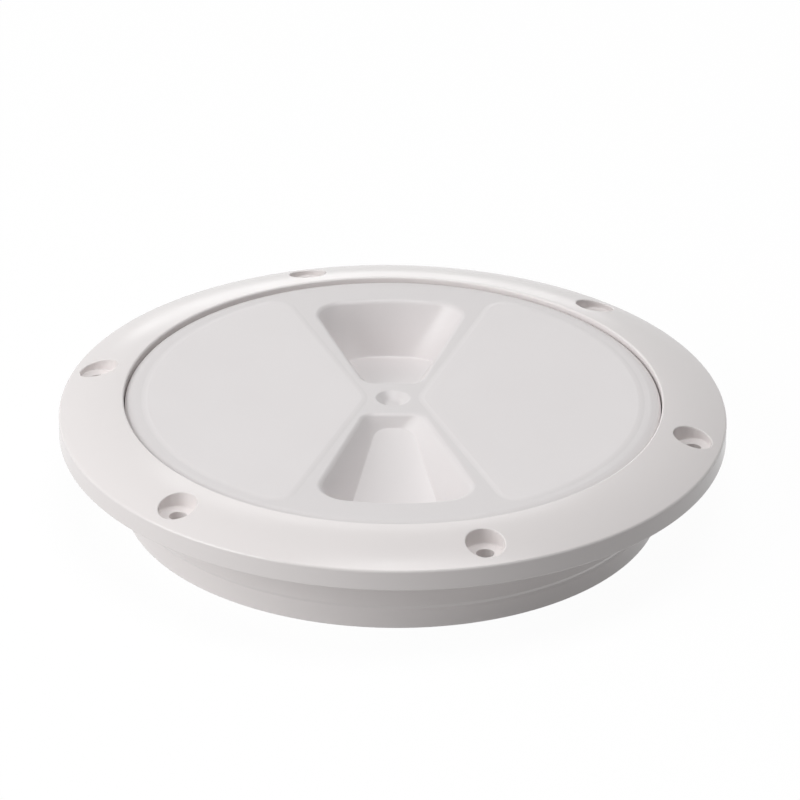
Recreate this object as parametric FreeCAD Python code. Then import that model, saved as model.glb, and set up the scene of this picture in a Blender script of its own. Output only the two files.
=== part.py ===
import FreeCAD, Part
import math
import os

# Round screw-in deck inspection plate: a moulded ring, its screw-in lid and the seal between them.
# Millimetres, +Z up. The origin is the centre of the flange's underside, which lies on the deck.

# Deck ring, flange
flange_diameter = 171.0
flange_width = 16.3
flange_edge_height = 5.4
flange_edge_bevel = 0.9
lip_height = 9.8
dome_bulge = 0.6

# Deck ring, recess that takes the lid's rim
seat_height = 2.9

# Deck ring, collar that goes through the deck
collar_outset = 0.2
collar_wall = 3.4
collar_depth = 19.75
collar_step_depth = 14.2
collar_step = 0.3

# Deck ring, coring under the flange
flange_skin = 2.6
core_inner_wall = 2.3
core_outer_wall = 3.0
core_rib_thickness = 1.6
cores_between_screws = 3

# Deck screws
screw_count = 6
screw_edge_distance = 7.5
first_screw_azimuth = -14.0
screw_hole_diameter = 4.4
counterbore_diameter = 9.8
counterbore_depth = 3.1
boss_wall = 2.0

# Lid, plate and rim
lid_rim_gap = 0.35
plate_top = 8.6
lid_edge_width = 2.4
lid_edge_drop = 0.9
lid_plate_thickness = 2.6

# Lid, neck that centres the seal and skirt that goes down the bore
neck_clearance = 0.4
thread_room = 1.9
skirt_wall = 2.4
skirt_bottom = -9.5
rib_thickness = 2.0
rib_height = 5.0
rib_azimuths = (-32.0, 0.0, 32.0)

# Lid, finger pockets
pocket_wall = 2.5
pocket_inner_end = 8.8
pocket_inner_half_width = 7.4
pocket_side_angle = 16.7
pocket_end_gap = 5.2
floor_inner_end = 10.4
floor_inner_half_width = 4.5
floor_side_angle = 13.0
floor_end_inset = 4.5
floor_inner_depth = 3.4
floor_outer_depth = 14.6
pocket_inner_corner = 3.0
pocket_outer_corner = 5.5
pocket_rim_bevel = 1.0
shell_side_lean = 0.45
shell_end_lean = 0.2

# Lid, grip pads and middle dimple
pad_margin = 4.95
pad_vertex = 7.0
pad_side_angle = 20.0
pad_inner_corner = 8.0
pad_outer_corner = 5.0
pad_rise = 0.2
dimple_radius = 4.4
dimple_floor_radius = 1.6
dimple_depth = 1.5

# Seal
seal_height = 2.5
seal_width = 2.5
seal_fit = 0.05
seal_side_gap = 0.15

# Sizes that follow from the ones above
flange_radius = flange_diameter / 2
recess_radius = flange_radius - flange_width
collar_radius = recess_radius + collar_outset
bore_radius = collar_radius - collar_wall
crown_radius = (recess_radius + flange_radius) / 2
crown_height = (lip_height + flange_edge_height) / 2 + dome_bulge
screw_circle_radius = flange_radius - screw_edge_distance
skirt_radius = bore_radius - thread_room
skirt_inner_radius = skirt_radius - skirt_wall
lid_rim_radius = recess_radius - lid_rim_gap
pocket_outer_radius = skirt_inner_radius - pocket_end_gap
floor_outer_radius = pocket_outer_radius - floor_end_inset
pad_radius = lid_rim_radius - pad_margin
rim_underside = seat_height + seal_height + 2 * seal_fit
neck_bottom = seat_height + neck_clearance
plate_underside = plate_top - lid_plate_thickness
# The seal lies on the outer part of the seat, and the lid's neck centres it.
seal_inner_radius = bore_radius + (recess_radius - bore_radius - seal_width) / 2
neck_radius = seal_inner_radius - seal_side_gap

# Tools that cut through a face start this far outside it.
overcut = 1.0
# Ribs, pads and shells run this far into the wall that carries them.
root_overlap = 0.4

X_AXIS = FreeCAD.Vector(1, 0, 0)
Z_AXIS = FreeCAD.Vector(0, 0, 1)
ORIGIN = FreeCAD.Vector(0, 0, 0)


def at(radius, height):
    """Point of the XZ half plane, where every revolved profile is drawn."""
    return FreeCAD.Vector(radius, 0, height)


def revolved(points):
    """Solid of revolution about Z from the corners of a closed outline in the XZ half plane."""
    return Part.Face(Part.makePolygon(points + points[:1])).revolve(ORIGIN, Z_AXIS, 360)


def turned(shape, azimuth):
    """Copy of a shape turned about Z by an angle in degrees."""
    copy = shape.copy()
    copy.rotate(ORIGIN, Z_AXIS, azimuth)
    return copy


def flat_sided(lower, upper):
    """Solid with flat sides between two quadrilaterals, whose corners run the same way round."""
    loops = [lower, upper]
    for number in range(4):
        following = (number + 1) % 4
        loops.append([lower[number], lower[following], upper[following], upper[number]])
    faces = [Part.Face(Part.makePolygon(loop + loop[:1])) for loop in loops]
    return Part.Solid(Part.Shell(faces))


def upright_edges(solid, nearest, farthest):
    """Vertical edges whose distance from the XZ plane is between two limits."""
    found = []
    for edge in solid.Edges:
        box = edge.BoundBox
        if box.XLength < 1e-4 and box.YLength < 1e-4 and nearest <= abs(box.Center.y) <= farthest:
            found.append(edge)
    return found


def dome_height(radius):
    """Height of the flange's top, two slopes that meet in a crown, at a distance from the axis."""
    if radius < crown_radius:
        rise = lip_height - crown_height
        return crown_height + rise * (crown_radius - radius) / (crown_radius - recess_radius)
    fall = crown_height - flange_edge_height
    return crown_height - fall * (radius - crown_radius) / (flange_radius - crown_radius)


def ring_body():
    """Flange, lid recess and collar, turned from one section."""
    edge_radius = flange_radius - flange_edge_bevel
    step_radius = collar_radius - collar_step
    return revolved([
        at(recess_radius, lip_height),
        at(recess_radius, seat_height),
        at(bore_radius, seat_height),
        at(bore_radius, -collar_depth),
        at(step_radius, -collar_depth),
        at(step_radius, -collar_step_depth),
        at(collar_radius, -collar_step_depth + collar_step),
        at(collar_radius, 0),
        at(flange_radius, 0),
        at(flange_radius, dome_height(edge_radius) - flange_edge_bevel),
        at(edge_radius, dome_height(edge_radius)),
        at(crown_radius, crown_height),
    ])


def screw_places():
    """Centres of the deck screws, at the height of the deck."""
    places = []
    for number in range(screw_count):
        azimuth = math.radians(first_screw_azimuth + number * 360 / screw_count)
        x = screw_circle_radius * math.cos(azimuth)
        y = screw_circle_radius * math.sin(azimuth)
        places.append(FreeCAD.Vector(x, y, 0))
    return places


def flange_core(span):
    """One hollow under the flange at +X, with straight walls, that spans an angle in degrees."""
    half_slope = math.tan(math.radians(span / 2))
    inner = recess_radius + core_inner_wall
    outer = (flange_radius - core_outer_wall) * math.cos(math.radians(span / 2))

    def corners(height_at):
        return [
            FreeCAD.Vector(inner, -inner * half_slope, height_at(inner)),
            FreeCAD.Vector(outer, -outer * half_slope, height_at(outer)),
            FreeCAD.Vector(outer, outer * half_slope, height_at(outer)),
            FreeCAD.Vector(inner, inner * half_slope, height_at(inner)),
        ]

    return flat_sided(corners(lambda radius: -overcut), corners(lambda radius: dome_height(radius) - flange_skin))


def flange_cores():
    """Rows of hollows under the flange, with a solid boss left round each deck screw."""
    boss_radius = counterbore_diameter / 2 + boss_wall
    boss_reach = math.degrees(math.asin(boss_radius / screw_circle_radius))
    rib_span = math.degrees(core_rib_thickness / screw_circle_radius)
    row_span = 360 / screw_count - 2 * boss_reach
    span = (row_span + rib_span) / cores_between_screws - rib_span
    core = flange_core(span)
    cores = []
    for screw in range(screw_count):
        row_start = first_screw_azimuth + screw * 360 / screw_count + boss_reach
        for number in range(cores_between_screws):
            cores.append(turned(core, row_start + span / 2 + number * (span + rib_span)))
    return cores


def screw_hole(place):
    """Clearance hole of one deck screw with the counterbore for its head."""
    floor = dome_height(screw_circle_radius) - counterbore_depth
    hole = Part.makeCylinder(screw_hole_diameter / 2, lip_height + overcut, place - Z_AXIS * overcut)
    head = Part.makeCylinder(counterbore_diameter / 2, lip_height, place + Z_AXIS * floor)
    return hole.fuse(head)


def deck_ring():
    """The moulded ring that is screwed to the deck."""
    holes = [screw_hole(place) for place in screw_places()]
    return ring_body().cut(flange_cores() + holes)


def lid_body():
    """Plate, rim, seal neck and skirt of the lid, turned from one section."""
    return revolved([
        at(0, plate_top),
        at(lid_rim_radius - lid_edge_width, plate_top),
        at(lid_rim_radius, plate_top - lid_edge_drop),
        at(lid_rim_radius, rim_underside),
        at(neck_radius, rim_underside),
        at(neck_radius, neck_bottom),
        at(skirt_radius, neck_bottom),
        at(skirt_radius, skirt_bottom),
        at(skirt_inner_radius, skirt_bottom),
        at(skirt_inner_radius, plate_underside),
        at(0, plate_underside),
    ])


def fan_wire(inner_end, inner_half_width, side_angle, outer_radius, grow):
    """Fan outline across +Y in the XY plane, with rounded corners, larger all round by grow.

    It has a short inner edge, two spreading sides and an outer arc about Z.
    """
    lean = math.radians(side_angle)
    near = inner_end - grow
    far = outer_radius + grow
    beyond = far + overcut
    near_half = inner_half_width + grow * (1 - math.sin(lean)) / math.cos(lean)
    beyond_half = near_half + (beyond - near) * math.tan(lean)
    outline = Part.makePolygon([
        FreeCAD.Vector(-near_half, near, 0),
        FreeCAD.Vector(near_half, near, 0),
        FreeCAD.Vector(beyond_half, beyond, 0),
        FreeCAD.Vector(-beyond_half, beyond, 0),
        FreeCAD.Vector(-near_half, near, 0),
    ])
    slab = Part.Face(outline).extrude(Z_AXIS)
    slab = slab.common(turned(Part.makeCylinder(far, 1), -90))
    middle = (near + far) / 2
    slab = slab.makeFillet(pocket_inner_corner + grow, upright_edges(slab, 0, middle))
    slab = slab.makeFillet(pocket_outer_corner + grow, upright_edges(slab, middle, far))
    return min(slab.Faces, key=lambda face: face.CenterOfMass.z).OuterWire


def opening_wire(grow, height):
    """Outline of a pocket's opening, larger by grow, at a height."""
    wire = fan_wire(pocket_inner_end, pocket_inner_half_width, pocket_side_angle, pocket_outer_radius, grow)
    wire.translate(Z_AXIS * height)
    return wire


def floor_wire():
    """Outline of a pocket's floor, laid on the ramp that gets deeper outwards."""
    wire = fan_wire(floor_inner_end, floor_inner_half_width, floor_side_angle, floor_outer_radius, 0)
    slope = (floor_outer_depth - floor_inner_depth) / (floor_outer_radius - floor_inner_end)
    wire.rotate(FreeCAD.Vector(0, floor_inner_end, 0), X_AXIS, -math.degrees(math.atan(slope)))
    wire.translate(Z_AXIS * (plate_top - floor_inner_depth))
    return wire


def pocket_cut():
    """Finger pocket towards +Y: a bevelled rim, then ruled walls down to the ramp."""
    above = opening_wire(2 * pocket_rim_bevel, plate_top + pocket_rim_bevel)
    below = opening_wire(0, plate_top - pocket_rim_bevel)
    return Part.makeLoft([above, below, floor_wire()], True, True)


def pocket_shell():
    """Wall and floor round a finger pocket under the plate, with flat sides that lean in downwards."""
    spread = math.tan(math.radians(pocket_side_angle))
    near = pocket_inner_end - pocket_wall
    far = pocket_outer_radius + pocket_wall
    near_half = pocket_inner_half_width + pocket_wall

    def row(y, depth):
        half_width = near_half + spread * (y - near) - shell_side_lean * depth
        height = plate_top - depth
        return [FreeCAD.Vector(-half_width, y, height), FreeCAD.Vector(half_width, y, height)]

    near_depth = floor_inner_depth + pocket_wall
    far_depth = floor_outer_depth + pocket_wall
    lower_near = row(near + shell_side_lean * near_depth, near_depth)
    lower_far = row(far - shell_end_lean * far_depth, far_depth)
    upper_near = row(near, root_overlap)
    upper_far = row(far, root_overlap)
    return flat_sided(lower_near + lower_far[::-1], upper_near + upper_far[::-1])


def grip_pad():
    """Grip pad towards +X: a fan with rounded corners that stands a little above the plate."""
    bottom = plate_top - root_overlap
    height = root_overlap + pad_rise
    spread = math.tan(math.radians(pad_side_angle)) * pad_radius
    outline = Part.makePolygon([
        FreeCAD.Vector(pad_vertex, 0, bottom),
        FreeCAD.Vector(pad_vertex + spread, -pad_radius, bottom),
        FreeCAD.Vector(2 * pad_radius, -pad_radius, bottom),
        FreeCAD.Vector(2 * pad_radius, pad_radius, bottom),
        FreeCAD.Vector(pad_vertex + spread, pad_radius, bottom),
        FreeCAD.Vector(pad_vertex, 0, bottom),
    ])
    wedge = Part.Face(outline).extrude(Z_AXIS * height)
    pad = wedge.common(turned(Part.makeCylinder(pad_radius, height, Z_AXIS * bottom), 180))
    pad = pad.makeFillet(pad_inner_corner, upright_edges(pad, 0, pad_radius / 2))
    return pad.makeFillet(pad_outer_corner, upright_edges(pad, pad_radius / 2, pad_radius))


def lid_ribs():
    """Ribs under the plate, each from one side of the skirt to the other."""
    reach = skirt_inner_radius + root_overlap
    corner = FreeCAD.Vector(-reach, -rib_thickness / 2, plate_underside - rib_height)
    rib = Part.makeBox(2 * reach, rib_thickness, rib_height + root_overlap, corner)
    return [turned(rib, azimuth) for azimuth in rib_azimuths]


def dimple():
    """The shallow dish in the middle of the lid, a cone that opens upwards."""
    flare = (dimple_radius - dimple_floor_radius) / dimple_depth
    height = dimple_depth + overcut
    mouth_radius = dimple_radius + flare * overcut
    return Part.makeCone(dimple_floor_radius, mouth_radius, height, Z_AXIS * (plate_top - dimple_depth))


def lid():
    """The screw-in lid with its finger pockets, pads, skirt and ribs."""
    shell = pocket_shell()
    hollow = pocket_cut()
    body = lid_body().fuse([shell, turned(shell, 180)])
    body = body.fuse(lid_ribs())
    body = body.cut([hollow, turned(hollow, 180), dimple()])
    return body.fuse([grip_pad(), turned(grip_pad(), 180)])


def seal_ring():
    """The rubber ring that the lid's rim presses on the seat."""
    outer_radius = seal_inner_radius + seal_width
    bottom = seat_height + seal_fit
    top = bottom + seal_height
    return revolved([
        at(seal_inner_radius, bottom),
        at(outer_radius, bottom),
        at(outer_radius, top),
        at(seal_inner_radius, top),
    ])


def export(name, shape):
    """Writes one piece to its own file."""
    shape.exportStep(os.path.join("parts", name + ".step"))
    print(name, "solids", len(shape.Solids), "valid", shape.isValid(), "volume", round(shape.Volume))


def main():
    """Builds and writes every piece."""
    os.makedirs("parts", exist_ok=True)
    export("deck_ring", deck_ring())
    export("lid", lid())
    export("seal_ring", seal_ring())


main()
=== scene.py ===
import logging
import math
from dataclasses import dataclass
from enum import Enum

import bmesh
import bpy
import numpy as np
from mathutils import Matrix, Vector


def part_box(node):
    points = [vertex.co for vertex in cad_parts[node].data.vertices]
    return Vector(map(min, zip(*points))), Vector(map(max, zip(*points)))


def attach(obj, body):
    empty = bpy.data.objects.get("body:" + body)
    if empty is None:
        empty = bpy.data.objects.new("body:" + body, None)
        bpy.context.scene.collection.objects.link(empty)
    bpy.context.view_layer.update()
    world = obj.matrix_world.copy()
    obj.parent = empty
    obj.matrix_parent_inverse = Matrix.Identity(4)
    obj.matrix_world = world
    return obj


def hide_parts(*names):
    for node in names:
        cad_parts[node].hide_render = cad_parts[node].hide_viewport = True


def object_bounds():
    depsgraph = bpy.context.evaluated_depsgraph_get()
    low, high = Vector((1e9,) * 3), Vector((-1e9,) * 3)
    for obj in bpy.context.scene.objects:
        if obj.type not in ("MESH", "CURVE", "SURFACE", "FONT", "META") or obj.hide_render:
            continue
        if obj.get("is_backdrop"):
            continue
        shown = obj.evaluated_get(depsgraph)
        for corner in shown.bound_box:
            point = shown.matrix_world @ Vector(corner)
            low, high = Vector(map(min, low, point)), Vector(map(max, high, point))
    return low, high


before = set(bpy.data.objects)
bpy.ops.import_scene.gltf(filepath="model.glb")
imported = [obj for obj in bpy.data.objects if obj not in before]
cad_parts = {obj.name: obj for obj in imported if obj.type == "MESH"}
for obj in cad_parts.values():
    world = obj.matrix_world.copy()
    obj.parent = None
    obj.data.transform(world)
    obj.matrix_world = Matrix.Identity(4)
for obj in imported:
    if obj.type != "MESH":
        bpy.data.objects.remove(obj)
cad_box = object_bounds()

# Looks of a round white screw-in deck inspection plate. Metres, in the frame of its solids: the origin is
# the centre of the flange's underside, +Z points up out of the deck, and the finger pockets lie along Y.

MM = 0.001
FULL_TURN = 2 * math.pi
WELD_DISTANCE = 0.002 * MM
LEVEL_TOLERANCE = 0.0001 * MM
SMALLEST_TURN = 1e-4
TINY = 1e-9
LOG = logging.getLogger("deck_plate")


def unit(vectors: np.ndarray) -> np.ndarray:
    """Each vector divided by its own length, with a zero vector left as it is."""
    length = np.linalg.norm(vectors, axis=-1, keepdims=True)
    return vectors / np.maximum(length, TINY)


def mixed(start: np.ndarray, end: np.ndarray, share: np.ndarray | float) -> np.ndarray:
    """Points at a share of the way from start to end."""
    return start + (end - start) * share


def full_circle(count: int) -> np.ndarray:
    """Angles of evenly spaced points round a full circle."""
    return np.linspace(0, FULL_TURN, count + 1)[:-1]


def circle_line(radius: np.ndarray | float, height: np.ndarray | float, angles: np.ndarray) -> np.ndarray:
    """A line of points round the Z axis: (radius cos angle, radius sin angle, height).

    Args:
        radius: distance from the axis, one value or one for each angle.
        height: height, one value or one for each angle.
        angles: angles in radians.

    Returns:
        Points as an array of shape (count, 3).
    """
    flat = np.ones_like(angles)
    return np.stack([radius * np.cos(angles), radius * np.sin(angles), height * flat], axis=-1)


def at_height(points: np.ndarray, height: np.ndarray | float) -> np.ndarray:
    """The same points in plan, laid at a height."""
    flat = np.ones(points.shape[:-1])
    return np.stack([points[..., 0], points[..., 1], height * flat], axis=-1)


def turned(points: np.ndarray, angle: float) -> np.ndarray:
    """Points turned about the Z axis by an angle in radians."""
    return points @ np.array(Matrix.Rotation(angle, 3, "Z")).T


def corner_arcs(
    before: np.ndarray, corner: np.ndarray, after: np.ndarray, radius: float, steps: int
) -> np.ndarray:
    """Rounds whole lines of corners at once, each between its two straight legs.

    The arc touches the legs at radius / tan(half angle) from the corner. Its points are the circle's centre
    plus the radius along a direction that turns evenly from one touching point to the other.

    Args:
        before: points on the first legs, shape (count, 3).
        corner: the corners themselves.
        after: points on the second legs.
        radius: radius of the rounding.
        steps: number of facets of each arc.

    Returns:
        Arc points, shape (steps + 1, count, 3).
    """
    first = unit(before - corner)
    second = unit(after - corner)
    half = np.arccos(np.clip((first * second).sum(-1, keepdims=True), -1, 1)) / 2
    start = first * radius / np.tan(half)
    end = second * radius / np.tan(half)
    centre = unit(first + second) * radius / np.sin(half)
    turn = np.maximum(math.pi - 2 * half, SMALLEST_TURN)
    share = np.linspace(0, 1, steps + 1)[:, None, None]
    swing = np.sin((1 - share) * turn) * (start - centre) + np.sin(share * turn) * (end - centre)
    return corner + centre + swing / np.sin(turn)


@dataclass(frozen=True)
class Line:
    """A line of corners that a strip runs through, with the rounding of the surface there."""

    points: np.ndarray
    radius: float = 0.0
    steps: int = 6


def strip(lines: list[Line], guard: float = 0.12 * MM, guard_share: float = 0.3) -> np.ndarray:
    """Surface through lines of corners, rounded where a line says so.

    Each rounded line becomes its arc and one guard row on each side of it, which keeps the smooth shading of
    the arc off the flat stretch beside it.

    Args:
        lines: corner lines of equal count, in the order in which the surface passes them.
        guard: distance of a guard row from its arc.
        guard_share: largest part of the flat stretch that a guard row takes up.

    Returns:
        Grid of points, shape (rows, count, 3).
    """
    rows = [lines[0].points]
    for last, line, following in zip(lines, lines[1:], lines[2:]):
        if line.radius == 0:
            rows.append(line.points)
            continue
        arcs = corner_arcs(last.points, line.points, following.points, line.radius, line.steps)
        guards = []
        for edge, leg in ((arcs[0], last.points), (arcs[-1], following.points)):
            length = np.linalg.norm(leg - edge, axis=-1, keepdims=True)
            guards.append(mixed(edge, leg, np.minimum(guard_share, guard / np.maximum(length, TINY))))
        rows.extend([guards[0], *arcs, guards[1]])
    rows.append(lines[-1].points)
    return np.stack(rows)


def turned_surface(angles: np.ndarray, section: list[tuple]) -> np.ndarray:
    """Surface that is turned about the Z axis, through the corners of its section.

    Args:
        angles: angles of the turn.
        section: each corner as its radius and height, then its rounding and the steps of that rounding
            where it has them.

    Returns:
        Grid of points, shape (rows, count, 3).
    """
    return strip([
        Line(circle_line(radius, height, angles), *rounding) for radius, height, *rounding in section])


def rounded_outline(corners: np.ndarray, radius: float, steps: int) -> np.ndarray:
    """Closed outline through corners, each rounded by the same radius.

    Args:
        corners: shape (count, 3), in order round the outline.
        radius: radius of every corner.
        steps: facets of each corner.

    Returns:
        Outline points, shape (count * (steps + 1), 3).
    """
    arcs = corner_arcs(np.roll(corners, 1, axis=0), corners, np.roll(corners, -1, axis=0), radius, steps)
    return arcs.transpose(1, 0, 2).reshape(-1, 3)


def arc_points(
    centre: np.ndarray | float, radius: float, start: float, end: float, count: int
) -> np.ndarray:
    """Points of an arc in the XY plane from one angle to another, shape (count, 2)."""
    turn = np.linspace(start, end, count)[:, None]
    return centre + radius * np.hstack([np.cos(turn), np.sin(turn)])


def corner_centre(
    foot: np.ndarray, along: np.ndarray, inwards: np.ndarray, corner: float, far: float
) -> np.ndarray:
    """Centre of the circle that rounds the corner between a straight side and an outer arc about Z.

    It lies beside the side at a distance of the corner's radius, and the same radius inside the outer arc.

    Args:
        foot: a point of the side's line in the XY plane.
        along: unit vector outwards along the side.
        inwards: unit vector from the side into the outline.
        corner: radius of the corner.
        far: radius of the outer arc.

    Returns:
        The centre in the XY plane.
    """
    beside = foot + inwards * corner
    reach = -beside @ along + math.sqrt((beside @ along) ** 2 - beside @ beside + (far - corner) ** 2)
    return beside + along * reach


def with_mirror_image(half: np.ndarray, flip: list[int]) -> np.ndarray:
    """Closed outline at height nought, from a half in the XY plane that starts and ends on the fold."""
    plan = np.concatenate([half, half[-2:0:-1] * flip])
    return np.column_stack([plan, np.zeros(len(plan))])


def placed(name: str, data: bpy.types.ID) -> bpy.types.Object:
    """Puts a mesh, lamp or camera into the scene.

    Args:
        name: name of the new object.
        data: what it shows.

    Returns:
        The new object, at the origin.
    """
    made = bpy.data.objects.new(name, data)
    bpy.context.scene.collection.objects.link(made)
    return made


def direction(azimuth: float, elevation: float) -> Vector:
    """Unit vector towards a place that is given by two angles in degrees.

    Args:
        azimuth: angle about Z from +X towards +Y.
        elevation: angle above the XY plane.

    Returns:
        (cos elevation cos azimuth, cos elevation sin azimuth, sin elevation).
    """
    level = math.cos(math.radians(elevation))
    return Vector((
        level * math.cos(math.radians(azimuth)),
        level * math.sin(math.radians(azimuth)),
        math.sin(math.radians(elevation)),
    ))


class Skin:
    """Gathers grids of points and joins them into one closed mesh."""

    def __init__(self) -> None:
        """Starts with nothing."""
        self.points: list[np.ndarray] = []
        self.quads: list[np.ndarray] = []
        self.flats: list[float] = []
        self.count = 0

    def add(self, grid: np.ndarray, closed: bool = True, keep: np.ndarray | None = None) -> None:
        """Adds one grid as quads between neighbouring rows and columns.

        Args:
            grid: points, shape (rows, columns, 3).
            closed: whether the last column joins the first.
            keep: which quads to keep, shape (rows - 1, columns - 1), or None for all.
        """
        rows, columns = grid.shape[:2]
        index = np.arange(rows * columns).reshape(rows, columns) + self.count
        left = index if closed else index[:, :-1]
        right = np.roll(index, -1, axis=1) if closed else index[:, 1:]
        quads = np.stack([left[:-1], right[:-1], right[1:], left[1:]], axis=-1)
        self.quads.append(quads[keep] if keep is not None else quads.reshape(-1, 4))
        self.points.append(grid.reshape(-1, 3))
        self.count += rows * columns

    def close_at(self, height: float) -> None:
        """Asks for the open edges in the level plane at this height to be filled flat."""
        self.flats.append(height)

    def turned_copies(self, azimuths: list[float]) -> None:
        """Replaces what was gathered by copies of it that are turned about Z.

        Args:
            azimuths: angle of each copy in degrees.
        """
        points = np.concatenate(self.points)
        quads = np.concatenate(self.quads)
        self.points = []
        self.quads = []
        for number, azimuth in enumerate(azimuths):
            self.points.append(turned(points, math.radians(azimuth)))
            self.quads.append(quads + number * len(points))
        self.count = len(points) * len(azimuths)

    def build(self, name: str) -> bpy.types.Object:
        """Joins the grids, fills the flats and turns every face outwards.

        Args:
            name: name of the piece.

        Returns:
            The finished object at the origin, shaded smooth except at its sharp edges.
        """
        mesh = bpy.data.meshes.new(name)
        mesh.from_pydata(np.concatenate(self.points).tolist(), [], np.concatenate(self.quads).tolist())
        work = bmesh.new()
        work.from_mesh(mesh)
        bmesh.ops.remove_doubles(work, verts=work.verts, dist=WELD_DISTANCE)
        for height in self.flats:
            rim = [edge for edge in work.edges if edge.is_boundary
                   and all(abs(end.co.z - height) < LEVEL_TOLERANCE for end in edge.verts)]
            bmesh.ops.triangle_fill(work, use_beauty=True, edges=rim, normal=(0, 0, 1))
        bmesh.ops.recalc_face_normals(work, faces=work.faces)
        open_edges = sum(not edge.is_manifold for edge in work.edges)
        work.to_mesh(mesh)
        work.free()
        made = placed(name, mesh)
        smooth(made)
        LOG.info("%s: %d faces, %d open edges", name, len(mesh.polygons), open_edges)
        return made


def smooth(piece: bpy.types.Object, angle: float = 35.0) -> None:
    """Shades a piece smooth, with edges over an angle in degrees left sharp."""
    piece.data.shade_smooth()
    piece.data.set_sharp_from_angle(angle=math.radians(angle))


def joined_with(piece: bpy.types.Object, tool: bpy.types.Object) -> None:
    """Fuses a tool into a piece, and removes the tool.

    Args:
        piece: the closed piece that grows.
        tool: the closed tool, which overlaps the piece.
    """
    fuse = piece.modifiers.new("fuse", "BOOLEAN")
    fuse.operation = "UNION"
    fuse.solver = "EXACT"
    fuse.object = tool
    shapes = bpy.context.evaluated_depsgraph_get()
    mesh = bpy.data.meshes.new_from_object(piece.evaluated_get(shapes))
    piece.modifiers.remove(fuse)
    old = piece.data
    piece.data = mesh
    mesh.name = piece.name
    bpy.data.meshes.remove(old)
    bpy.data.objects.remove(tool)
    smooth(piece)


# Finishes


def linear(colour: str) -> tuple[float, float, float, float]:
    """Works out a colour's linear values by the sRGB curve.

    Args:
        colour: sRGB hex colour such as F0EFEB.

    Returns:
        Linear red, green and blue, and an alpha of one.
    """
    parts = np.array([int(colour[i:i + 2], 16) for i in (0, 2, 4)]) / 255
    light = np.where(parts <= 0.04045, parts / 12.92, ((parts + 0.055) / 1.055) ** 2.4)
    return (float(light[0]), float(light[1]), float(light[2]), 1.0)


def add_node(
    tree: bpy.types.NodeTree, kind: str, sockets: dict | None = None, **settings: object
) -> bpy.types.Node:
    """Adds a node to a material.

    Args:
        tree: the material's node tree.
        kind: type of node.
        sockets: for each input by name or number, a value or another node's output.
        settings: the node's own properties.

    Returns:
        The new node.
    """
    made = tree.nodes.new(kind)
    for name, value in settings.items():
        setattr(made, name, value)
    for name, value in (sockets or {}).items():
        if isinstance(value, bpy.types.NodeSocket):
            tree.links.new(value, made.inputs[name])
        else:
            made.inputs[name].default_value = value
    return made


def noise(
    tree: bpy.types.NodeTree, place: bpy.types.NodeSocket, size: float, detail: float,
    roughness: float = 0.5
) -> bpy.types.NodeSocket:
    """Soft random pattern from nought to one, whose spots are about as wide as the given size."""
    return add_node(tree, "ShaderNodeTexNoise", {
        "Vector": place, "Scale": 1 / size, "Detail": detail, "Roughness": roughness}).outputs["Fac"]


def bump(
    tree: bpy.types.NodeTree, height: bpy.types.NodeSocket, depth: float, sockets: dict
) -> bpy.types.NodeSocket:
    """Normal of a surface whose height varies by the given depth, with the bump node's other sockets."""
    values = {"Height": height, "Distance": depth, **sockets}
    return add_node(tree, "ShaderNodeBump", values).outputs["Normal"]


def tone_between(
    tree: bpy.types.NodeTree, share: bpy.types.NodeSocket, first: str, second: str
) -> bpy.types.NodeSocket:
    """Mixes two colours by a share.

    Args:
        tree: the material's node tree.
        share: nought for the first colour, one for the second.
        first: sRGB hex colour.
        second: sRGB hex colour.

    Returns:
        The mixed colour.
    """
    # Numbers of the mix node's sockets when it mixes colours.
    factor, near, far, result = 0, 6, 7, 2
    return add_node(tree, "ShaderNodeMix", {
        factor: share, near: linear(first), far: linear(second)}, data_type="RGBA").outputs[result]


def blank_material(name: str) -> tuple[bpy.types.Material, bpy.types.NodeTree]:
    """Starts a material.

    Args:
        name: name of the material.

    Returns:
        The material and its node tree, which is empty.
    """
    made = bpy.data.materials.new(name)
    made.use_nodes = True
    made.node_tree.nodes.clear()
    return made, made.node_tree


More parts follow.
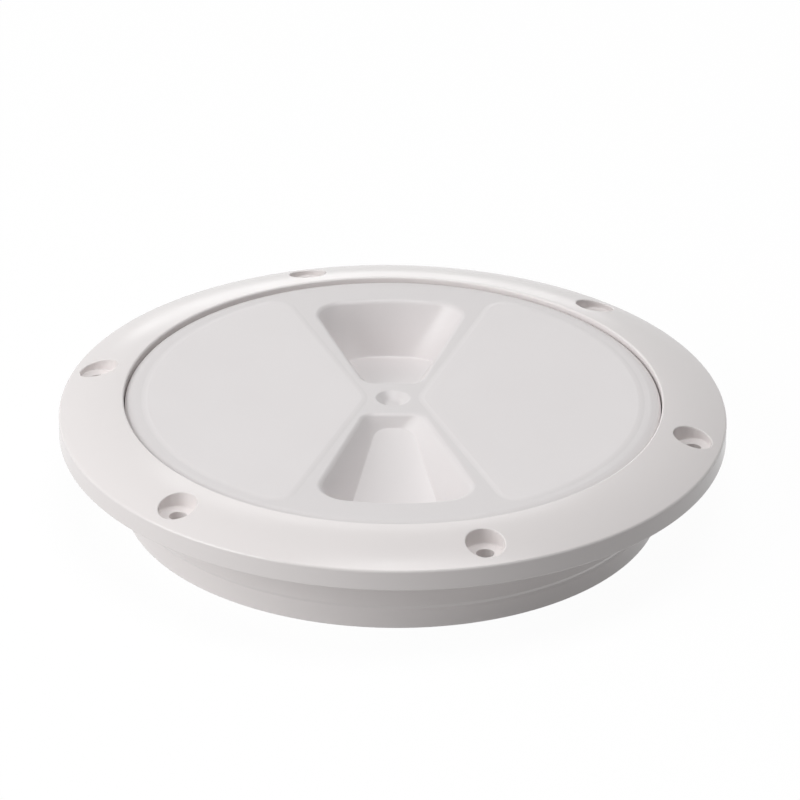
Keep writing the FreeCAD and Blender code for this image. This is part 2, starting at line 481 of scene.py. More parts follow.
@dataclass(frozen=True)
class MouldedPlastic:
    """White weather-resistant ASA, injection moulded in a polished or finely eroded steel mould.

    The polished mould gives an even satin gloss with a faint waviness, and a slow change of gloss where the
    plastic flowed. Faces with the grip mark come from an eroded part of the mould: they are finely pebbled
    and a little more matt. Their base colour is also painted paler, which is painted light, not a colour of
    the plastic.
    """

    name: str
    colour: str
    # Colour of the faces with the grip mark. Where it is paler than colour, the difference is painted light.
    painted_light_grip_colour: str
    roughness: float
    roughness_swing: float
    flow_size: float = 14 * MM
    wave_size: float = 3.2 * MM
    wave_height: float = 0.004 * MM
    # An eroded mould's pebbles are about 0.1 mm. They are drawn wider so that they show at all.
    pebble_size: float = 0.32 * MM
    pebble_height: float = 0.012 * MM
    pebble_roughness: float = 0.1
    refraction: float = 1.49

    def build(self) -> bpy.types.Material:
        """Builds the material.

        Returns:
            The material, with its patterns in the piece's own coordinates.
        """
        material, tree = blank_material(self.name)
        place = add_node(tree, "ShaderNodeTexCoord").outputs["Object"]
        grip_and_painted_light = add_node(tree, "ShaderNodeAttribute", attribute_name="grip_and_painted_light").outputs["Fac"]
        swing = self.roughness_swing
        flow = noise(tree, place, self.flow_size, detail=3.0, roughness=0.45)
        # The flow pattern lies mostly between 0.3 and 0.7.
        gloss = add_node(tree, "ShaderNodeMapRange", {
            "Value": flow, "From Min": 0.3, "From Max": 0.7,
            "To Min": self.roughness - swing, "To Max": self.roughness + swing})
        matt = add_node(tree, "ShaderNodeMath", {
            0: grip_and_painted_light, 1: self.pebble_roughness, 2: gloss.outputs["Result"]}, operation="MULTIPLY_ADD")
        waviness = noise(tree, place, self.wave_size, detail=1.0)
        waves = bump(tree, waviness, self.wave_height, {"Strength": 1.0})
        grain = noise(tree, place, self.pebble_size, detail=2.0, roughness=0.6)
        pebbles = bump(tree, grain, self.pebble_height, {"Strength": grip_and_painted_light, "Normal": waves})
        # Faces with the grip mark get the paler colour: painted light.
        shader = add_node(tree, "ShaderNodeBsdfPrincipled", {
            "Base Color": tone_between(tree, grip_and_painted_light, self.colour, self.painted_light_grip_colour),
            "Roughness": matt.outputs["Value"], "IOR": self.refraction, "Normal": pebbles})
        add_node(tree, "ShaderNodeOutputMaterial", {"Surface": shader.outputs["BSDF"]})
        return material


@dataclass(frozen=True)
class MouldedRubber:
    """Black EPDM rubber, compression moulded: deep black, dull, with a faint dusty bloom."""

    name: str
    colour: str = "1B1B1C"
    bloom: str = "2C2C2D"
    bloom_size: float = 2.5 * MM
    grain_height: float = 0.02 * MM
    grain_strength: float = 0.5
    roughness: float = 0.62
    refraction: float = 1.5

    def build(self) -> bpy.types.Material:
        """Builds the material.

        Returns:
            The material, with its bloom in the piece's own coordinates.
        """
        material, tree = blank_material(self.name)
        place = add_node(tree, "ShaderNodeTexCoord").outputs["Object"]
        dust = noise(tree, place, self.bloom_size, detail=4.0)
        shader = add_node(tree, "ShaderNodeBsdfPrincipled", {
            "Base Color": tone_between(tree, dust, self.colour, self.bloom),
            "Roughness": self.roughness, "IOR": self.refraction,
            "Normal": bump(tree, dust, self.grain_height, {"Strength": self.grain_strength})})
        add_node(tree, "ShaderNodeOutputMaterial", {"Surface": shader.outputs["BSDF"]})
        return material


class Finish(Enum):
    """The finishes of the plate's pieces."""

    RING = MouldedPlastic("moulded_asa_ring", "EFEAE9", "EFEAE9", roughness=0.2, roughness_swing=0.03)
    # The lid's second colour is paler: painted light on its pads and on the up-facing insides of its
    # pockets.
    LID = MouldedPlastic("moulded_asa_lid", "E5E1E1", "EDE9E9", roughness=0.34, roughness_swing=0.04)
    SEAL = MouldedRubber("moulded_epdm_seal")


def dress(piece: bpy.types.Object, finish: Finish, body: str, node: str | None = None) -> None:
    """Gives a piece its finish, hangs it on the body that it rides on, and hides the solid that it stands
    for.

    Args:
        piece: the finished piece.
        finish: its finish.
        body: the moving body that it belongs to.
        node: the solid that it stands for, or None if it is an addition.
    """
    name = finish.value.name
    piece.data.materials.clear()
    piece.data.materials.append(bpy.data.materials.get(name) or finish.value.build())
    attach(piece, body)
    if node is not None:
        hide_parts(node)
    LOG.info("%s rides on %s with %s", piece.name, body, name)


# Pieces


@dataclass(frozen=True)
class ThreadRidge:
    """One helical ridge of the coarse thread, whose section is a trapezium with rounded corners.

    The section is carried along a helix: radius from the wall to the crest, height rising by the lead each
    turn. Near both ends the ridge sinks into its wall along a smooth step.
    """

    wall_radius: float
    bottom: float
    faces_out: bool
    depth: float = 1.5 * MM
    lead: float = 5.0 * MM
    turns: float = 1.25
    root_half_width: float = 1.65 * MM
    crest_half_width: float = 0.7 * MM
    rounding: float = 0.25 * MM
    root_in_wall: float = 0.3 * MM
    run_out: float = math.radians(18)
    steps_per_turn: int = 200

    def build(self, name: str) -> bpy.types.Object:
        """Builds the ridge.

        Args:
            name: name of the piece.

        Returns:
            The closed piece.
        """
        side = 1 if self.faces_out else -1
        crest = side * self.depth
        root = -side * self.root_in_wall
        section = rounded_outline(np.array([
            [root, 0, -self.root_half_width], [crest, 0, -self.crest_half_width],
            [crest, 0, self.crest_half_width], [root, 0, self.root_half_width],
        ]), self.rounding, steps=4)
        whole = self.turns * FULL_TURN
        along = np.linspace(0, whole, int(self.turns * self.steps_per_turn))[:, None]
        share = np.clip(np.minimum(along, whole - along) / self.run_out, 0, 1)
        rise = share * share * (3 - 2 * share)
        radius = self.wall_radius + root + (section[None, :, 0] - root) * rise
        height = self.bottom + self.lead * along / FULL_TURN + section[None, :, 2]
        grid = np.stack([radius * np.cos(along), radius * np.sin(along), height], axis=-1)
        ends = [np.repeat(row.mean(0)[None, None], grid.shape[1], axis=1) for row in (grid[0], grid[-1])]
        skin = Skin()
        skin.add(np.concatenate([ends[0], grid, ends[1]]))
        return skin.build(name)


@dataclass
class DeckRing:
    """The moulded ring that is screwed to the deck: flange, screw holes, recess, bore and collar."""

    flange_radius: float
    lip_height: float
    collar_depth: float
    # The flange reaches 0.3 mm further in than its solid, for the fine seam round the lid.
    flange_width: float = 16.6 * MM
    flange_edge_height: float = 5.4 * MM
    dome_bulge: float = 0.6 * MM
    edge_rounding: float = 0.8 * MM
    edge_reach: float = 0.64 * MM
    lip_rounding: float = 0.45 * MM
    lip_reach: float = 0.63 * MM
    small_rounding: float = 0.3 * MM
    underside_margin: float = 1.2 * MM
    seat_height: float = 2.9 * MM
    collar_outset: float = 0.5 * MM
    collar_wall: float = 3.4 * MM
    step_depth: float = 14.2 * MM
    step: float = 0.3 * MM
    step_groove: float = 0.1 * MM
    step_blend: float = 0.9 * MM
    step_rounding: float = 0.8 * MM
    groove_rounding: float = 0.5 * MM
    collar_end_rounding: float = 0.4 * MM
    skin: float = 2.6 * MM
    core_inner_wall: float = 2.3 * MM
    core_outer_wall: float = 3.0 * MM
    core_rib: float = 1.6 * MM
    core_corner: float = 1.0 * MM
    core_ceiling_rounding: float = 0.6 * MM
    cores_between_screws: int = 3
    screw_count: int = 6
    screw_edge_distance: float = 7.5 * MM
    first_screw_azimuth: float = -14.0
    screw_hole_radius: float = 2.2 * MM
    counterbore_radius: float = 4.9 * MM
    counterbore_depth: float = 3.1 * MM
    counterbore_rim_rounding: float = 0.3 * MM
    counterbore_foot_rounding: float = 0.4 * MM
    screw_hole_rounding: float = 0.2 * MM
    boss_wall: float = 2.0 * MM
    thread_bottom: float = -5.1 * MM
    # The dome's grid leaves a square patch free round each hole: its reach to either side, towards the lip
    # and towards the edge, the ring of faces next to the hole, and the cells along a patch's side, from the
    # patch to the lip and beside it.
    patch_sideways: float = 6.6 * MM
    patch_inwards: float = 6.8 * MM
    patch_outwards: float = 6.2 * MM
    mouth_margin: float = 0.7 * MM
    patch_cells: int = 16
    lip_cells: int = 2
    plain_cells: int = 25

    @classmethod
    def from_frame(cls) -> "DeckRing":
        """The ring at the size of its solid."""
        low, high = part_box("deck_ring")
        return cls(flange_radius=max(high.x, -low.x), lip_height=high.z, collar_depth=-low.z)

    @property
    def recess_radius(self) -> float:
        """Radius of the recess that takes the lid's rim."""
        return self.flange_radius - self.flange_width

    @property
    def collar_radius(self) -> float:
        """Outer radius of the collar."""
        return self.recess_radius + self.collar_outset

    @property
    def bore_radius(self) -> float:
        """Inner radius of the collar."""
        return self.collar_radius - self.collar_wall

    @property
    def screw_circle(self) -> float:
        """Radius of the circle through the screws."""
        return self.flange_radius - self.screw_edge_distance

    def dome(self, radius: np.ndarray | float) -> np.ndarray | float:
        """Height of the domed top: the arc over the chord from lip to edge that bulges by dome_bulge.

        Args:
            radius: distances from the axis.

        Returns:
            Heights: the circle's centre height plus the root of its radius squared less the offset squared.
        """
        drop = self.lip_height - self.flange_edge_height
        chord = math.hypot(self.flange_width, drop)
        circle = (chord ** 2 / 4 + self.dome_bulge ** 2) / (2 * self.dome_bulge)
        back = (circle - self.dome_bulge) / chord
        centre_radius = (self.recess_radius + self.flange_radius) / 2 - drop * back
        centre_height = (self.lip_height + self.flange_edge_height) / 2 - self.flange_width * back
        return centre_height + np.sqrt(circle ** 2 - (radius - centre_radius) ** 2)

    def dome_corner(self, start: float, end: float) -> float:
        """Height of the corner where the dome's tangent meets a wall.

        Args:
            start: radius at which the straight line touches the dome.
            end: radius of the wall.

        Returns:
            Height of that line at the wall.
        """
        nudge = 0.001 * MM
        slope = (self.dome(start + nudge) - self.dome(start - nudge)) / (2 * nudge)
        return float(self.dome(start) + slope * (end - start))

    def sector_angles(self) -> np.ndarray:
        """Angles of the grid in one sector, with the screw in its middle.

        Returns:
            Angles in radians, closer together beside the hole.
        """
        half_sector = math.pi / self.screw_count
        half_patch = self.patch_sideways / self.screw_circle
        side = np.linspace(half_patch, half_sector, self.plain_cells + 1)[1:]
        patch = np.linspace(-half_patch, half_patch, self.patch_cells + 1)
        return np.concatenate([-side[::-1], patch, side])

    def sector(self, skin: Skin) -> None:
        """Adds one sector of the ring's outside, with one screw hole in its middle.

        Args:
            skin: what the sector's grids are added to.
        """
        angles = self.sector_angles()
        inner_start = self.recess_radius + self.lip_reach
        outer_end = self.flange_radius - self.edge_reach
        patch_inner = self.screw_circle - self.patch_inwards
        patch_outer = self.screw_circle + self.patch_outwards
        radii = np.concatenate([
            np.linspace(inner_start, patch_inner, self.lip_cells + 1)[:-1],
            np.linspace(patch_inner, patch_outer, self.patch_cells + 1),
            [outer_end],
        ])
        dome = np.stack([circle_line(radius, self.dome(radius), angles) for radius in radii])
        row, column = self.lip_cells, self.plain_cells
        keep = np.ones((len(radii) - 1, len(angles) - 1), bool)
        keep[row:row + self.patch_cells, column:column + self.patch_cells] = False
        skin.add(dome, closed=False, keep=keep)
        patch = dome[row:row + self.patch_cells + 1, column:column + self.patch_cells + 1]
        loop = np.concatenate([patch[0, :-1], patch[:-1, -1], patch[-1, :0:-1], patch[:0:-1, 0]])
        skin.add(self.screw_hole(loop))
        skin.add(self.rim(angles, outer_end), closed=False)
        skin.add(self.inside(angles, inner_start), closed=False)

    def screw_hole(self, loop: np.ndarray) -> np.ndarray:
        """Surface from a loop on the dome, over the counterbore's mouth and down the screw hole.

        Args:
            loop: points of the dome round the hole.

        Returns:
            Grid whose rows go from the loop to the flange's underside.
        """
        centre = np.array([self.screw_circle, 0, 0])
        ray = unit(at_height(loop, 0) - centre)

        def on_dome(points: np.ndarray) -> np.ndarray:
            """The points laid on the dome."""
            return at_height(points, self.dome(np.hypot(points[:, 0], points[:, 1])))

        near = on_dome(centre + ray * (self.counterbore_radius + self.mouth_margin))
        mouth = on_dome(centre + ray * self.counterbore_radius)
        floor = float(self.dome(self.screw_circle)) - self.counterbore_depth
        wall = centre + ray * self.counterbore_radius
        hole = centre + ray * self.screw_hole_radius
        return strip([
            Line(loop),
            Line(on_dome(mixed(loop, near, 0.5))),
            Line(near),
            Line(mouth, self.counterbore_rim_rounding),
            Line(at_height(wall, floor), self.counterbore_foot_rounding),
            Line(at_height(hole, floor), self.screw_hole_rounding),
            Line(at_height(hole, 0)),
        ])

    def rim(self, angles: np.ndarray, start: float) -> np.ndarray:
        """Surface from the dome's outer end round the flange's edge to its underside.

        Args:
            angles: angles of the turn.
            start: radius at which the dome ends.

        Returns:
            Grid whose rows go from the dome to the underside.
        """
        corner = self.dome_corner(start, self.flange_radius)
        return turned_surface(angles, [
            (start, self.dome(start)),
            (self.flange_radius, corner, self.edge_rounding, 9),
            (self.flange_radius, 0, self.small_rounding),
            (self.flange_radius - self.underside_margin, 0),
        ])

    def inside(self, angles: np.ndarray, start: float) -> np.ndarray:
        """Surface from the flange's underside down the collar, up the bore and over the lip to the dome.

        Args:
            angles: angles of the turn.
            start: radius at which the dome starts.

        Returns:
            Grid whose rows go from the underside to the dome.
        """
        small = self.small_rounding
        stepped = self.collar_radius - self.step
        above = self.step_blend - self.step_depth
        below = -self.step_blend - self.step_depth
        lip = self.dome_corner(start, self.recess_radius)
        return turned_surface(angles, [
            (self.collar_radius + self.underside_margin, 0),
            (self.collar_radius, 0, small),
            (self.collar_radius, above, self.step_rounding, 4),
            (stepped - self.step_groove, -self.step_depth, self.groove_rounding, 4),
            (stepped, below, self.step_rounding, 4),
            (stepped, -self.collar_depth, self.collar_end_rounding),
            (self.bore_radius, -self.collar_depth, self.collar_end_rounding),
            (self.bore_radius, self.seat_height, small),
            (self.recess_radius, self.seat_height, small),
            (self.recess_radius, lip, self.lip_rounding, 8),
            (start, self.dome(start)),
        ])

    def core(self, span: float, azimuth: float) -> np.ndarray:
        """One hollow under the flange, with straight walls and a ceiling that follows the dome.

        Args:
            span: angle that the hollow spans.
            azimuth: angle of its middle.

        Returns:
            Grid whose rows go from the underside up the walls to the middle of the ceiling.
        """
        half = math.tan(span / 2)
        inner = self.recess_radius + self.core_inner_wall
        outer = (self.flange_radius - self.core_outer_wall) * math.cos(span / 2)
        corners = np.array([
            [inner, -inner * half, 0], [outer, -outer * half, 0],
            [outer, outer * half, 0], [inner, inner * half, 0],
        ])
        outline = turned(rounded_outline(corners, self.core_corner, steps=5), azimuth)
        middle = np.repeat(outline.mean(0)[None], len(outline), axis=0)

        def ceiling(points: np.ndarray) -> np.ndarray:
            """The points laid under the dome at the skin's thickness."""
            return at_height(points, self.dome(np.hypot(points[:, 0], points[:, 1])) - self.skin)

        return strip([
            Line(outline),
            Line(ceiling(outline), self.core_ceiling_rounding, steps=4),
            Line(ceiling(mixed(outline, middle, 0.5))),
            Line(ceiling(middle)),
        ])

    def build(self) -> bpy.types.Object:
        """Builds the whole ring, from one sector repeated about the axis, and its thread.

        Returns:
            The dressed ring.
        """
        skin = Skin()
        self.sector(skin)
        boss_reach = math.asin((self.counterbore_radius + self.boss_wall) / self.screw_circle)
        rib_span = self.core_rib / self.screw_circle
        row_span = FULL_TURN / self.screw_count - 2 * boss_reach
        span = (row_span + rib_span) / self.cores_between_screws - rib_span
        for number in range(self.cores_between_screws):
            skin.add(self.core(span, boss_reach + span / 2 + number * (span + rib_span)))
        pitch = 360 / self.screw_count
        skin.turned_copies([self.first_screw_azimuth + pitch * place for place in range(self.screw_count)])
        skin.close_at(0.0)
        ring = skin.build("deck_ring_moulding")
        dress(ring, Finish.RING, "ring", "deck_ring")
        thread = ThreadRidge(self.bore_radius, self.thread_bottom, faces_out=False).build("ring_thread")
        dress(thread, Finish.RING, "ring")
        return ring


@dataclass(frozen=True)
class FanOutline:
    """Outline of a finger pocket towards +Y: inner edge, two spreading sides and an outer arc about Z."""

    inner_end: float
    inner_half_width: float
    side_angle: float
    outer_radius: float
    inner_corner: float
    outer_corner: float

    def points(self, grow: float = 0.0) -> np.ndarray:
        """The outline in the XY plane, larger all round by grow.

        The right half is worked out from the inner edge's middle to the outer arc's middle, and mirrored.
        Each corner's circle touches both of its neighbours.

        Args:
            grow: distance by which the outline is larger.

        Returns:
            Closed outline, shape (count, 3), with the same count for every fan.
        """
        lean = math.radians(self.side_angle)
        along = np.array([math.sin(lean), math.cos(lean)])
        inwards = np.array([-math.cos(lean), math.sin(lean)])
        near = self.inner_end - grow
        far = self.outer_radius + grow
        half_width = self.inner_half_width + grow * (1 - math.sin(lean)) / math.cos(lean)
        foot = np.array([half_width, near])
        small = self.inner_corner + grow
        large = self.outer_corner + grow
        small_centre = np.array([half_width - small * (1 - math.sin(lean)) / math.cos(lean), near + small])
        large_centre = corner_centre(foot, along, inwards, large, far)
        touch = math.atan2(large_centre[1], large_centre[0])
        half = np.concatenate([
            np.linspace([0, near], [small_centre[0], near], num=6)[:-1],
            arc_points(small_centre, small, -math.pi / 2, -lean, count=12),
            np.linspace(small_centre - inwards * small, large_centre - inwards * large, num=26)[1:-1],
            arc_points(large_centre, large, -lean, touch, count=16),
            arc_points(0, far, touch, math.pi / 2, count=16)[1:],
        ])
        return with_mirror_image(half, [-1, 1])


@dataclass
class Lid:
    """The screw-in lid: plate with two finger pockets, two grip pads and a dimple, rim, neck and skirt."""

    rim_radius: float
    skirt_bottom: float
    pad_top: float
    pad_rise: float = 0.15 * MM
    plate_thickness: float = 3.0 * MM
    edge_width: float = 2.6 * MM
    shoulder_width: float = 1.5 * MM
    shoulder_drop: float = 0.18 * MM
    edge_drop: float = 0.7 * MM
    edge_rounding: float = 1.4 * MM
    edge_margin: float = 0.75 * MM
    edge_blend: float = 5.0 * MM
    shoulder_blend: float = 4.0 * MM
    small_rounding: float = 0.3 * MM
    rim_underside: float = 5.5 * MM
    neck_radius: float = 66.2 * MM
    neck_bottom: float = 3.3 * MM
    neck_rounding: float = 0.2 * MM
    skirt_radius: float = 64.1 * MM
    skirt_wall: float = 2.4 * MM
    skirt_end_rounding: float = 0.5 * MM
    skirt_root_rounding: float = 1.0 * MM
    skirt_root_margin: float = 1.6 * MM
    rib_thickness: float = 2.0 * MM
    rib_height: float = 5.0 * MM
    rib_corner: float = 0.3 * MM
    rib_slimmer_share: float = 0.6
    rib_overlap: float = 0.4 * MM
    rib_stagger: float = 0.04 * MM
    rib_azimuths: tuple[float, ...] = (-32.0, 0.0, 32.0)
    opening: FanOutline = FanOutline(
        inner_end=8.8 * MM, inner_half_width=7.4 * MM, side_angle=16.7,
        outer_radius=56.5 * MM, inner_corner=3.0 * MM, outer_corner=7.0 * MM)
    floor: FanOutline = FanOutline(
        inner_end=10.4 * MM, inner_half_width=4.5 * MM, side_angle=13.0,
        outer_radius=52.0 * MM, inner_corner=4.2 * MM, outer_corner=9.0 * MM)
    floor_inner_depth: float = 3.4 * MM
    floor_outer_depth: float = 14.6 * MM
    pocket_wall: float = 2.4 * MM
    pocket_margin: float = 1.35 * MM
    pocket_rim_rounding: float = 1.7 * MM
    pocket_floor_rounding: float = 0.5 * MM
    spine_inner_gap: float = 3.0 * MM
    spine_outer_gap: float = 12.0 * MM
    shell_margin: float = 1.1 * MM
    shell_root_rounding: float = 0.8 * MM
    shell_foot_rounding: float = 2.6 * MM
    pad_margin: float = 5.05 * MM
    pad_slope: float = 1.6 * MM
    pad_blend: float = 3.5 * MM
    pad_flat: float = 0.2 * MM
    pad_vertex: float = 6.8 * MM
    pad_side_angle: float = 20.0
    pad_inner_corner: float = 8.0 * MM
    pad_outer_corner: float = 5.0 * MM
    hub_radius: float = 7.0 * MM
    facing_up: float = 0.1
    dimple_radius: float = 4.4 * MM
    dimple_floor_radius: float = 1.9 * MM
    dimple_depth: float = 1.7 * MM
    dimple_margin: float = 0.6 * MM
    dimple_rim_rounding: float = 0.9 * MM
    dimple_floor_blend: float = 2.2 * MM
    dimple_middle: float = 0.2 * MM
    thread_bottom: float = -7.6 * MM
    # How far the lid's top stands over its solid's, and how much smaller its rim is in radius.
    lift: float = 0.5 * MM
    inset: float = 0.17 * MM

    @classmethod
    def from_frame(cls) -> "Lid":
        """Sizes the lid by its solid.

        Returns:
            The lid, with its top a little higher and its rim a little smaller than the solid's.
        """
        low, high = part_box("lid")
        rim_radius = max(high.x, -low.x) - cls.inset
        return cls(rim_radius=rim_radius, skirt_bottom=low.z, pad_top=high.z + cls.lift)

    @property
    def plate_top(self) -> float:
        """Height of the plate's top between the pads."""
        return self.pad_top - self.pad_rise

    @property
    def plate_underside(self) -> float:
        """Height of the plate's underside."""
        return self.plate_top - self.plate_thickness

    def ramp(self, points: np.ndarray, below: float = 0.0) -> np.ndarray:
        """Lays points on a pocket's floor, whose depth grows evenly outwards, or at a distance below it.

        Args:
            points: points in plan.
            below: distance under the floor.

        Returns:
            The points at their heights.
        """
        run = self.floor.outer_radius - self.floor.inner_end
        slope = (self.floor_outer_depth - self.floor_inner_depth) / run
        depth = self.floor_inner_depth + slope * (np.abs(points[..., 1]) - self.floor.inner_end)
        return at_height(points, self.plate_top - depth - below)

    def spine(self, outline: np.ndarray) -> np.ndarray:
        """Finds the nearest point of a pocket's middle line for each point of its outline.

        Args:
            outline: the pocket's outline in plan.

        Returns:
            One point of the middle line for each, at height nought.
        """
        near = self.floor.inner_end + self.spine_inner_gap
        far = self.floor.outer_radius - self.spine_outer_gap
        y = np.clip(outline[:, 1], near, far)
        return np.column_stack([np.zeros(len(y)), y, np.zeros(len(y))])

    def pocket(self) -> np.ndarray:
        """Finger pocket towards +Y: rounded rim, ruled walls from opening to floor, foot and floor.

        Returns:
            Grid whose rows go from the plate's top to the middle line of the floor.
        """
        foot = self.ramp(self.floor.points())
        return strip([
            Line(at_height(self.opening.points(self.pocket_margin), self.plate_top)),
            Line(at_height(self.opening.points(), self.plate_top), self.pocket_rim_rounding, steps=10),
            Line(foot, self.pocket_floor_rounding, steps=8),
            Line(self.ramp(mixed(foot, self.spine(foot), 0.5))),
            Line(self.ramp(self.spine(foot))),
        ])

    def pocket_shell(self) -> np.ndarray:
        """Outside of a finger pocket: the same form, larger by the wall, below the plate's underside.

        Returns:
            Grid whose rows go from the plate's underside to the middle line of the shell's bottom.
        """
        wall = self.pocket_wall
        top = at_height(self.opening.points(wall), self.plate_top)
        foot = self.ramp(self.floor.points(wall), wall)
        share = (self.plate_top - self.plate_underside) / (self.plate_top - foot[:, 2:])
        root = at_height(mixed(top, foot, share), self.plate_underside)
        outwards = unit(at_height(top, 0) - at_height(foot, 0))
        return strip([
            Line(root + outwards * self.shell_margin),
            Line(root, self.shell_root_rounding),
            Line(foot, self.shell_foot_rounding, steps=8),
            Line(self.ramp(mixed(foot, self.spine(foot), 0.5), wall)),
            Line(self.ramp(self.spine(foot), wall)),
        ])

    def pad_outline(self, grow: float) -> np.ndarray:
        """Outline of the grip pad towards +X in the XY plane, larger by grow.

        The upper half goes from the rounded vertex along the side and round the outer corner to the outer
        arc's middle, and is then mirrored.

        Args:
            grow: distance by which the outline is larger.

        Returns:
            Closed outline, shape (count, 3).
        """
        lean = math.radians(self.pad_side_angle)
        along = np.array([math.sin(lean), math.cos(lean)])
        inwards = np.array([math.cos(lean), -math.sin(lean)])
        far = self.rim_radius - self.pad_margin + grow
        small = self.pad_inner_corner + grow
        large = self.pad_outer_corner + grow
        foot = np.array([self.pad_vertex, 0]) - inwards * grow
        small_centre = np.array([self.pad_vertex + self.pad_inner_corner / math.cos(lean), 0])
        large_centre = corner_centre(foot, along, inwards, large, far)
        touch = math.atan2(large_centre[1], large_centre[0])
        half = np.concatenate([
            arc_points(small_centre, small, math.pi, math.pi - lean, count=8),
            np.linspace(small_centre - inwards * small, large_centre - inwards * large, num=20)[1:-1],
            arc_points(large_centre, large, math.pi - lean, touch, count=18),
            arc_points(0, far, touch, 0, count=60)[1:],
        ])
        return with_mirror_image(half, [1, -1])

    def pad(self) -> np.ndarray:
        """Edge of the grip pad towards +X, a soft slope from the plate up to the pad's top.

        Returns:
            Grid whose rows go from the plate's top to the pad's top.
        """
        half = self.pad_slope / 2
        return strip([
            Line(at_height(self.pad_outline(half + self.pad_flat), self.plate_top)),
            Line(at_height(self.pad_outline(half), self.plate_top), self.pad_blend, steps=5),
            Line(at_height(self.pad_outline(-half), self.pad_top), self.pad_blend, steps=5),
            Line(at_height(self.pad_outline(-half - self.pad_flat), self.pad_top)),
        ])

    def dimple(self) -> np.ndarray:
        """The dish in the middle: a cone that blends into a small flat floor, with a rounded rim.

        Returns:
            Grid whose rows go from the plate's top to the axis.
        """
        bottom = self.plate_top - self.dimple_depth
        return turned_surface(full_circle(96), [
            (self.dimple_radius + self.dimple_margin, self.plate_top),
            (self.dimple_radius, self.plate_top, self.dimple_rim_rounding, 8),
            (self.dimple_floor_radius, bottom, self.dimple_floor_blend, 8),
            (self.dimple_middle, bottom),
            (0, bottom),
        ])

    def body(self) -> np.ndarray:
        """Soft shoulder, rounded edge, rim, seal neck and skirt, turned from one section.

        Returns:
            Grid whose rows go from the plate's top round the skirt to the plate's underside.
        """
        top = self.plate_top
        edge_start = self.rim_radius - self.edge_width
        shoulder = self.rim_radius - self.shoulder_width
        inner = self.skirt_radius - self.skirt_wall
        small = self.small_rounding
        return turned_surface(full_circle(360), [
            (edge_start - self.edge_margin, top),
            (edge_start, top, self.edge_blend, 6),
            (shoulder, top - self.shoulder_drop, self.shoulder_blend, 4),
            (self.rim_radius, top - self.edge_drop, self.edge_rounding, 10),
            (self.rim_radius, self.rim_underside, small),
            (self.neck_radius, self.rim_underside, self.neck_rounding),
            (self.neck_radius, self.neck_bottom, small),
            (self.skirt_radius, self.neck_bottom, small),
            (self.skirt_radius, self.skirt_bottom, self.skirt_end_rounding),
            (inner, self.skirt_bottom, self.skirt_end_rounding),
            (inner, self.plate_underside, self.skirt_root_rounding),
            (inner - self.skirt_root_margin, self.plate_underside),
        ])

    def rib(self, azimuth: float, deeper: float) -> bpy.types.Object:
        """One rib under the plate, from one side of the skirt to the other.

        The outline is repeated further in on both flat ends, which keeps their fill off the rounded edges.

        Args:
            azimuth: angle of the rib about Z in degrees.
            deeper: how far it reaches past the first rib at top and bottom, so that no two ribs' faces lie
                in one plane.

        Returns:
            The rib as a closed tool.
        """
        reach = self.skirt_radius - self.skirt_wall + self.rib_overlap
        half = self.rib_thickness / 2
        low = self.plate_underside - self.rib_height - deeper
        high = self.plate_underside + self.rib_overlap + deeper
        corners = np.array([[-reach, -half, 0], [reach, -half, 0], [reach, half, 0], [-reach, half, 0]])
        turn = math.radians(azimuth)
        outline = turned(rounded_outline(corners, self.rib_corner, steps=3), turn)
        slimmer = corners * [1, self.rib_slimmer_share, 1]
        within = turned(rounded_outline(slimmer, self.rib_corner / 2, steps=3), turn)
        skin = Skin()
        skin.add(np.stack([at_height(within, high), at_height(outline, high),
                           at_height(outline, low), at_height(within, low)]))
        skin.close_at(low)
        skin.close_at(high)
        return skin.build("rib_tool")

    def mark_grip_and_painted_light(self, lid: bpy.types.Object) -> None:
        """Marks what the mould gives a pebbled surface in the attribute grip.

        A pad counts by its height over the plate. A pocket's inside counts by its depth under the plate's
        top: it is what faces up between the hub and the pockets' outer ends. The same mark paints these
        faces paler, which is
        painted light: a painted sheen on the pads, and painted light on the pockets' up-facing insides.

        Args:
            lid: the finished lid.
        """
        places, facing = np.empty((2, len(lid.data.vertices) * 3), np.float32)
        lid.data.vertices.foreach_get("co", places)
        lid.data.vertices.foreach_get("normal", facing)
        x, y, z = places.reshape(-1, 3).T
        rise = z - self.plate_top
        radius = np.hypot(x, y)
        pocket_span = (radius > self.hub_radius) & (radius < self.opening.outer_radius)
        # In the pockets only faces that face up are marked, so their painted light lies where light from
        # above would fall.
        sunk = -rise / self.pocket_rim_rounding * (pocket_span & (facing[2::3] > self.facing_up))
        marks = np.clip(np.where(rise > 0, rise / self.pad_rise, sunk), 0, 1)
        grip_and_painted_light = lid.data.attributes.new("grip_and_painted_light", "FLOAT", "POINT")
        grip_and_painted_light.data.foreach_set("value", marks.astype(np.float32))

    def build(self) -> bpy.types.Object:
        """Builds the whole lid, with its ribs fused to it, and its thread.

        Returns:
            The dressed lid.
        """
        skin = Skin()
        skin.add(self.body())
        half_turn = np.array([-1, -1, 1])
        for grid in (self.pocket(), self.pocket_shell(), self.pad()):
            skin.add(grid)
            skin.add(grid * half_turn)
        skin.add(self.dimple())
        for height in (self.plate_top, self.pad_top, self.plate_underside):
            skin.close_at(height)
        lid = skin.build("lid_moulding")
        for number, azimuth in enumerate(self.rib_azimuths):
            joined_with(lid, self.rib(azimuth, number * self.rib_stagger))
        self.mark_grip_and_painted_light(lid)
        dress(lid, Finish.LID, "lid", "lid")
        thread = ThreadRidge(self.skirt_radius, self.thread_bottom, faces_out=True).build("lid_thread")
        dress(thread, Finish.LID, "lid")
        return lid


